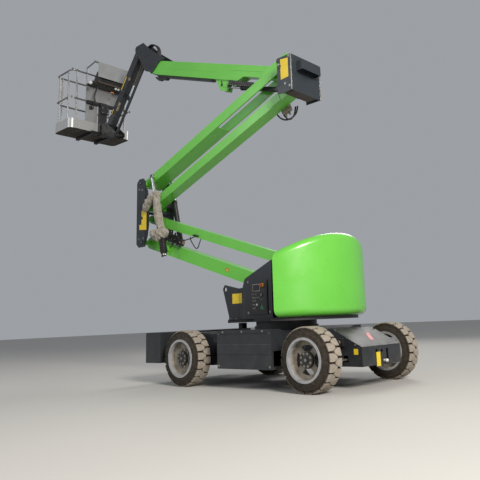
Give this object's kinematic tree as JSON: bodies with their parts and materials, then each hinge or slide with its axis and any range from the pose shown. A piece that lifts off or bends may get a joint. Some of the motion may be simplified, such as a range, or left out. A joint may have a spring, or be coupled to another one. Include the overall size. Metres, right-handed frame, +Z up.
{
  "type": "articulating boom lift",
  "caption": "Four-wheel articulating boom lift: slewing turntable with round-backed hood, folding arm pairs, telescopic boom, jib and railed work platform.",
  "frame": {"origin": "on the ground under the middle of the whole machine's box", "axes": "+X forward along the boom, +Y to the machine's left, +Z up"},
  "size_m": [6.7102, 1.882, 5.8729],
  "materials": {
    "green_paint": "gloss",
    "dark_paint": "satin",
    "rim_paint": "satin",
    "ram_steel": "polished",
    "bright_aluminium": "brushed",
    "black_plastic": "matte",
    "ballast_iron": "rough",
    "tyre_rubber": "matte"
  },
  "bodies": {
    "chassis": {"chassis_beam": "dark_paint", "front_box": "dark_paint", "side_box_left": "dark_paint", "side_box_right": "dark_paint", "slewing_ring": "dark_paint", "front_axle": "dark_paint", "rear_axle": "dark_paint"},
    "turntable": {"turntable_deck": "dark_paint", "turntable_cheeks": "dark_paint", "hood": "green_paint", "counterweight": "ballast_iron", "ground_controls": "black_plastic"},
    "upper_knuckle": {"upper_knuckle": "dark_paint", "knuckle_tray": "dark_paint"},
    "platform": {"platform_support": "dark_paint", "platform_floor": "bright_aluminium", "platform_rails": "bright_aluminium", "platform_console": "black_plastic", "platform_guard": "bright_aluminium", "platform_back_sheet": "bright_aluminium"},
    "wheel_front_left": {"tyre_front_left": "tyre_rubber", "rim_front_left": "rim_paint"},
    "wheel_front_right": {"tyre_front_right": "tyre_rubber", "rim_front_right": "rim_paint"},
    "wheel_rear_left": {"tyre_rear_left": "tyre_rubber", "rim_rear_left": "rim_paint"},
    "wheel_rear_right": {"tyre_rear_right": "tyre_rubber", "rim_rear_right": "rim_paint"},
    "knuckle_left": {"knuckle_left": "dark_paint"},
    "knuckle_right": {"knuckle_right": "dark_paint"},
    "tie_rod": {"tie_rod": "dark_paint"},
    "lower_arm": {"lower_arm": "green_paint"},
    "lower_link": {"lower_link": "green_paint"},
    "middle_knuckle": {"middle_knuckle": "dark_paint"},
    "upper_arm": {"upper_arm": "green_paint"},
    "upper_link": {"upper_link": "green_paint"},
    "main_boom": {"main_boom": "green_paint"},
    "boom_extension": {"boom_extension": "ram_steel"},
    "jib_head": {"jib_head": "dark_paint"},
    "jib": {"jib": "dark_paint"},
    "jib_link": {"jib_link": "dark_paint"},
    "platform_bracket": {"platform_bracket": "dark_paint"},
    "platform_gate": {"platform_gate": "bright_aluminium"},
    "lift_barrel": {"lift_barrel": "dark_paint"},
    "lift_rod": {"lift_rod": "ram_steel"},
    "luff_barrel": {"luff_barrel": "dark_paint"},
    "luff_rod": {"luff_rod": "ram_steel"},
    "jib_barrel": {"jib_barrel": "dark_paint"},
    "jib_rod": {"jib_rod": "ram_steel"}
  },
  "joints": [
    {"name": "slew", "type": "hinge", "parent": "chassis", "child": "turntable", "pos_m": [-1.91007, 0, 0.725], "axis": [0, 0, 1], "continuous": true},
    {"name": "riser", "type": "hinge", "parent": "turntable", "child": "lower_arm", "pos_m": [-2.16007, 0, 1.11], "axis": [0, -1, 0], "range_deg": [-23, 45]},
    {"name": "lower_link_pivot", "type": "hinge", "parent": "turntable", "child": "lower_link", "pos_m": [-2.16007, 0, 1.513], "axis": [0, -1, 0], "range_deg": [-23.02, 45.02]},
    {"name": "middle_knuckle_pivot", "type": "hinge", "parent": "lower_arm", "child": "middle_knuckle", "pos_m": [0.97004, 0, 2.1361], "axis": [0, -1, 0], "range_deg": [-45.02, 23.02]},
    {"name": "upper_arm_pivot", "type": "hinge", "parent": "middle_knuckle", "child": "upper_arm", "pos_m": [1.02004, 0, 3.1461], "axis": [0, 1, 0], "range_deg": [-13.82, 27.02]},
    {"name": "upper_link_pivot", "type": "hinge", "parent": "middle_knuckle", "child": "upper_link", "pos_m": [1.02004, 0, 2.7461], "axis": [0, 1, 0], "range_deg": [-13.82, 27.02]},
    {"name": "upper_knuckle_pivot", "type": "hinge", "parent": "upper_arm", "child": "upper_knuckle", "pos_m": [-2.20968, 0, 4.32162], "axis": [0, 1, 0], "range_deg": [-27.02, 13.82]},
    {"name": "luff", "type": "hinge", "parent": "upper_knuckle", "child": "main_boom", "pos_m": [-2.23969, 0, 4.17162], "axis": [0, -1, 0], "range_deg": [-12, 54.7]},
    {"name": "telescope", "type": "slide", "parent": "main_boom", "child": "boom_extension", "axis": [0.9379, 0, 0.3469], "range_m": [0, 1.35]},
    {"name": "head_level", "type": "hinge", "parent": "boom_extension", "child": "jib_head", "pos_m": [1.02727, 0, 5.31293], "axis": [0, -1, 0], "range_deg": [-54.72, 12.02]},
    {"name": "jib_lift", "type": "hinge", "parent": "jib_head", "child": "jib", "pos_m": [1.42027, 0, 5.79093], "axis": [0, -1, 0], "range_deg": [-8.5, 66.5]},
    {"name": "jib_link_pivot", "type": "hinge", "parent": "jib_head", "child": "jib_link", "pos_m": [1.15027, 0, 5.57093], "axis": [0, -1, 0], "range_deg": [-8.52, 66.52]},
    {"name": "bracket_level", "type": "hinge", "parent": "jib", "child": "platform_bracket", "pos_m": [2.41007, 0, 4.54659], "axis": [0, -1, 0], "range_deg": [-66.52, 8.52]},
    {"name": "platform_turn", "type": "hinge", "parent": "platform_bracket", "child": "platform", "pos_m": [2.59507, 0, 4.54659], "axis": [0, 0, 1], "range_deg": [-80, 80]},
    {"name": "gate_lift", "type": "hinge", "parent": "platform", "child": "platform_gate", "pos_m": [2.88607, 0.639, 5.11059], "axis": [0, -1, 0], "range_deg": [0, 80]},
    {"name": "lift_barrel_pivot", "type": "hinge", "parent": "lower_arm", "child": "lift_barrel", "pos_m": [0.50062, 0, 1.98222], "axis": [0, -1, 0], "range_deg": [-35.93, 18.38]},
    {"name": "lift_rod_slide", "type": "slide", "parent": "lift_barrel", "child": "lift_rod", "axis": [0.2296, 0, 0.9733], "range_m": [-0.1977, 0.3859]},
    {"name": "luff_barrel_pivot", "type": "hinge", "parent": "upper_knuckle", "child": "luff_barrel", "pos_m": [-1.94968, 0, 4.00662], "axis": [0, -1, 0], "range_deg": [-12.94, 58.93]},
    {"name": "luff_rod_slide", "type": "slide", "parent": "luff_barrel", "child": "luff_rod", "axis": [0.9452, 0, 0.3266], "range_m": [-0.0625, 0.2813]},
    {"name": "jib_barrel_pivot", "type": "hinge", "parent": "jib_head", "child": "jib_barrel", "pos_m": [1.33027, 0, 5.63393], "axis": [0, -1, 0], "range_deg": [-8.43, 65.82]},
    {"name": "jib_rod_slide", "type": "slide", "parent": "jib_barrel", "child": "jib_rod", "axis": [0.5922, 0, -0.8058], "range_m": [-0.0264, 0.2001]},
    {"name": "steer_left", "type": "hinge", "parent": "chassis", "child": "knuckle_left", "pos_m": [-2.96007, 0.598, 0.355], "axis": [0, 0, 1], "range_deg": [-35, 35]},
    {"name": "steer_right", "type": "hinge", "parent": "chassis", "child": "knuckle_right", "pos_m": [-2.96007, -0.598, 0.355], "axis": [0, 0, 1], "range_deg": [-35.02, 35.02]},
    {"name": "tie_rod_slide", "type": "slide", "parent": "chassis", "child": "tie_rod", "axis": [0, 1, 0], "range_m": [-0.0985, 0.0985]},
    {"name": "wheel_front_left_spin", "type": "hinge", "parent": "chassis", "child": "wheel_front_left", "pos_m": [-0.86007, 0.81, 0.355], "axis": [0, 1, 0], "continuous": true},
    {"name": "wheel_front_right_spin", "type": "hinge", "parent": "chassis", "child": "wheel_front_right", "pos_m": [-0.86007, -0.81, 0.355], "axis": [0, 1, 0], "continuous": true},
    {"name": "wheel_rear_left_spin", "type": "hinge", "parent": "knuckle_left", "child": "wheel_rear_left", "pos_m": [-2.96007, 0.81, 0.355], "axis": [0, 1, 0], "continuous": true},
    {"name": "wheel_rear_right_spin", "type": "hinge", "parent": "knuckle_right", "child": "wheel_rear_right", "pos_m": [-2.96007, -0.81, 0.355], "axis": [0, 1, 0], "continuous": true}
  ],
  "couplings": [
    {"joint": "lower_link_pivot", "follows": "riser", "ratio": 1},
    {"joint": "middle_knuckle_pivot", "follows": "riser", "ratio": -1},
    {"joint": "upper_arm_pivot", "follows": "riser", "ratio": 0.6},
    {"joint": "upper_link_pivot", "follows": "riser", "ratio": 0.6},
    {"joint": "upper_knuckle_pivot", "follows": "riser", "ratio": -0.6},
    {"joint": "head_level", "follows": "luff", "ratio": -1},
    {"joint": "jib_link_pivot", "follows": "jib_lift", "ratio": 1},
    {"joint": "bracket_level", "follows": "jib_lift", "ratio": -1},
    {"joint": "lift_barrel_pivot", "follows": "riser", "ratio": -0.7981},
    {"joint": "lift_rod_slide", "follows": "riser", "m_per_rad": 0.49005},
    {"joint": "luff_barrel_pivot", "follows": "luff", "ratio": 1.077},
    {"joint": "luff_rod_slide", "follows": "luff", "m_per_rad": 0.29364},
    {"joint": "jib_barrel_pivot", "follows": "jib_lift", "ratio": 0.98943},
    {"joint": "jib_rod_slide", "follows": "jib_lift", "m_per_rad": 0.17155},
    {"joint": "steer_right", "follows": "steer_left", "ratio": 1},
    {"joint": "tie_rod_slide", "follows": "steer_left", "m_per_rad": -0.16}
  ]
}
